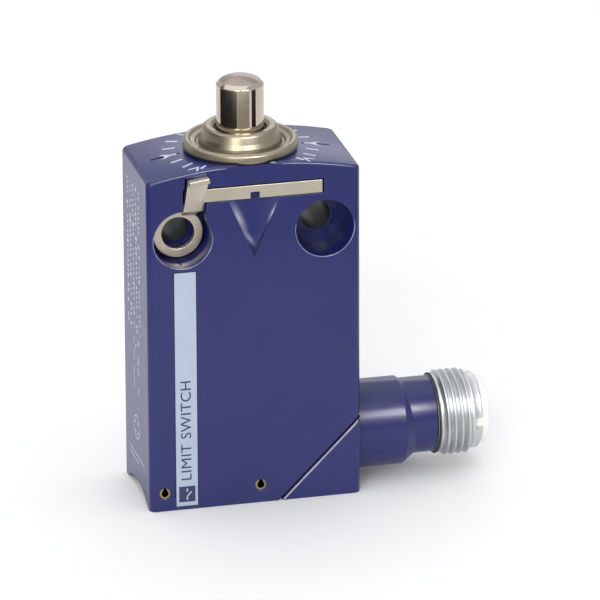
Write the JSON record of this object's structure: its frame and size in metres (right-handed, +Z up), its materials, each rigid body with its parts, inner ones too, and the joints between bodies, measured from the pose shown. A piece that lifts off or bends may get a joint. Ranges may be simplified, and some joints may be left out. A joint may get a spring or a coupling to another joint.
{
  "type": "limit switch",
  "caption": "Miniature limit switch: slim die-cast casing, top steel plunger in a turnable round head, slide-out clip, two fixing holes and a threaded side connector.",
  "frame": {"origin": "on the flat base, under the plunger's axis", "axes": "+Z up along the plunger's axis, +X towards the connector, -Y is the front face with the clip, +Y is the mounting face"},
  "size_m": [0.0494, 0.0176, 0.0601],
  "materials": {
    "painted_zinc": "semi-gloss blue-violet enamel",
    "black_rubber": "matt",
    "spring_steel": "drawn",
    "label_film": "satin",
    "stainless_steel": "satin, stamped",
    "nickel_zinc": "satin, warm nickel tone",
    "sintered_bronze": "sintered",
    "polished_steel": "polished",
    "zinc_shell": "machined zinc, satin",
    "white_plastic": "moulded",
    "gold_plate": "plated",
    "brown_pvc": "smooth",
    "white_pvc": "smooth",
    "blue_pvc": "smooth",
    "black_pvc": "smooth",
    "grey_plastic": "moulded",
    "red_plastic": "moulded",
    "contact_brass": "stamped, silver tips"
  },
  "bodies": {
    "body": {"casing": "painted_zinc", "connector_housing": "painted_zinc", "joint_gasket": "black_rubber", "roll_pin_left": "spring_steel", "roll_pin_right": "spring_steel", "label_strip": "label_film", "connector_shell": "zinc_shell", "connector_o_ring": "black_rubber", "connector_insert": "white_plastic", "connector_pins": "gold_plate", "wire_brown": "brown_pvc", "wire_white": "white_pvc", "wire_blue": "blue_pvc", "wire_black": "black_pvc", "switch_base": "grey_plastic", "switch_cover": "red_plastic", "cover_screws": "stainless_steel", "fixed_contact_11": "contact_brass", "fixed_contact_12": "contact_brass", "fixed_contact_23": "contact_brass", "fixed_contact_24": "contact_brass", "return_spring": "spring_steel", "block_pad": "black_rubber"},
    "head": {"head_housing": "nickel_zinc", "head_o_ring": "black_rubber", "plunger_bush": "sintered_bronze", "wiper_seal": "black_rubber", "plunger_spring": "spring_steel", "tail_cap": "sintered_bronze"},
    "plunger": {"plunger": "polished_steel"},
    "clip": {"retaining_clip": "stainless_steel"},
    "carriage": {"carriage": "white_plastic", "bridge_spring_upper": "spring_steel", "bridge_spring_lower": "spring_steel"},
    "bridges": {"bridge_upper": "contact_brass", "bridge_lower": "contact_brass"}
  },
  "joints": [
    {"name": "head_turn", "type": "hinge", "parent": "body", "child": "head", "pos_m": [0, 0, 0.05], "axis": [0, 0, 1], "continuous": true},
    {"name": "plunger_press", "type": "slide", "parent": "head", "child": "plunger", "axis": [0, 0, -1], "range_m": [0, 0.004], "stiffness_N_per_m": 1200, "springref_m": -0.004, "deforming": ["plunger_spring"]},
    {"name": "clip_pull", "type": "slide", "parent": "body", "child": "clip", "axis": [0, -1, 0], "range_m": [0, 0.0125]},
    {"name": "carriage_slide", "type": "slide", "parent": "body", "child": "carriage", "axis": [0, 0, -1], "range_m": [0, 0.004], "deforming": ["return_spring"]},
    {"name": "bridge_float", "type": "slide", "parent": "carriage", "child": "bridges", "axis": [0, 0, 1], "range_m": [0, 0.002], "deforming": ["bridge_spring_upper", "bridge_spring_lower"]}
  ],
  "couplings": [
    {"joint": "carriage_slide", "follows": "plunger_press", "ratio": 1},
    {"joint": "bridge_float", "follows": "plunger_press", "ratio": 0.5}
  ]
}
